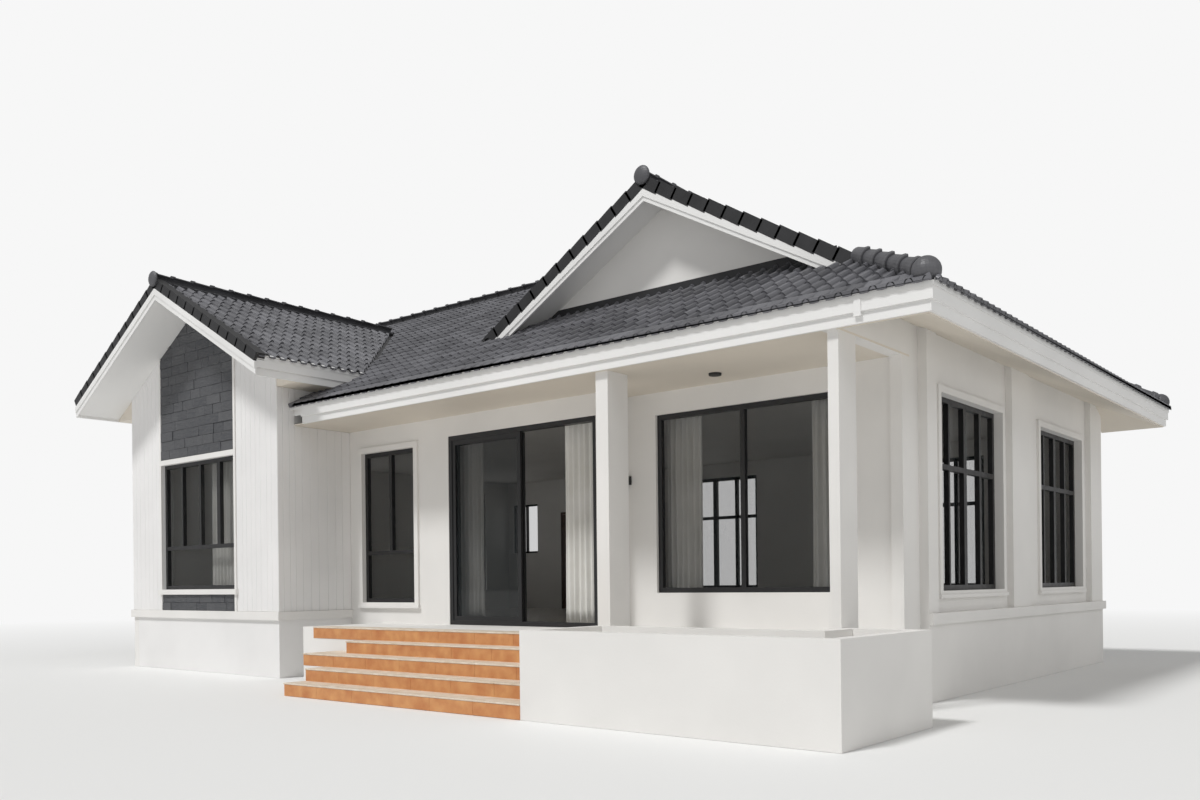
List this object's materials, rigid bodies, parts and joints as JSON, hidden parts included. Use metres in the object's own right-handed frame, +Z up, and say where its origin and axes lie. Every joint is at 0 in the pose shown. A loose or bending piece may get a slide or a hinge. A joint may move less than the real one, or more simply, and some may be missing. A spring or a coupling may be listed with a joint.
{
  "type": "bungalow",
  "caption": "Raised single-storey house with a gabled wing, a pillared porch under a hipped tile roof, wide steps, a planting trough and a sliding glass door.",
  "frame": {"origin": "centre of the overall box at ground level, where the walls, steps and trough stand", "axes": "+X to the right along the porch front, +Y towards the back wall, +Z up"},
  "size_m": [14.34, 10.835, 6.5128],
  "materials": {
    "white_render": "matt paint on smooth render",
    "wing_cladding": "matt painted vertical boards",
    "floor_tile": "satin",
    "step_tile": "satin terracotta tile",
    "soffit_board": "matt paint",
    "roof_tile": "matt dark grey concrete tile",
    "fascia_board": "satin paint",
    "slate": "split face",
    "black_frame": "matt black powder coat",
    "window_glass": "clear",
    "dark_wood": "stained",
    "curtain_cloth": "sheer weave",
    "lamp_black": "matt"
  },
  "bodies": {
    "house": {"west_wall": "white_render", "back_wall": "white_render", "east_wall": "white_render", "window_wall": "white_render", "door_wall_left": "white_render", "door_wall_right": "white_render", "door_wall_top": "white_render", "wing_front_wall": "wing_cladding", "wing_side_wall": "wing_cladding", "floor_slab": "floor_tile", "porch_slab": "white_render", "step_first": "step_tile", "step_second": "step_tile", "step_third": "step_tile", "step_fourth": "step_tile", "planting_trough": "white_render", "plinth_ledge": "white_render", "left_column": "white_render", "corner_column": "white_render", "eave_soffit": "soffit_board", "room_ceiling": "white_render", "front_slope": "roof_tile", "east_slope": "roof_tile", "back_slope": "roof_tile", "front_gable_slope": "roof_tile", "wing_east_slope": "roof_tile", "wing_west_slope": "roof_tile", "ridge_caps": "roof_tile", "main_fascia": "fascia_board", "wing_fascia": "fascia_board", "front_gable_boards": "fascia_board", "wing_gable_boards": "fascia_board", "west_gable_boards": "fascia_board", "verge_covers": "roof_tile", "front_gable_wall": "white_render", "slate_panels": "slate", "window_surrounds": "white_render", "front_window_frames": "black_frame", "east_window_frames": "black_frame", "west_window_frames": "black_frame", "back_window_frames": "black_frame", "front_glass": "window_glass", "east_glass": "window_glass", "west_glass": "window_glass", "back_glass": "window_glass", "slide_frame": "black_frame", "back_door_frame": "dark_wood", "back_steps": "step_tile", "curtain_rails": "fascia_board", "wing_curtains": "curtain_cloth", "door_curtains": "curtain_cloth", "porch_curtains": "curtain_cloth", "wall_lamp": "lamp_black", "ceiling_lamp": "lamp_black", "wing_soffit": "soffit_board", "porch_edge": "step_tile"},
    "front_door_leaf": {"slide_leaf": "black_frame", "slide_leaf_glass": "window_glass"},
    "back_door_leaf": {"back_door": "dark_wood"}
  },
  "joints": [
    {"name": "front_door_slide", "type": "slide", "parent": "house", "child": "front_door_leaf", "axis": [1, 0, 0], "range_m": [0, 1.21]},
    {"name": "back_door_hinge", "type": "hinge", "parent": "house", "child": "back_door_leaf", "pos_m": [-4.78, 4.6235, 0.76], "axis": [0, 0, -1], "range_deg": [0, 95]}
  ]
}
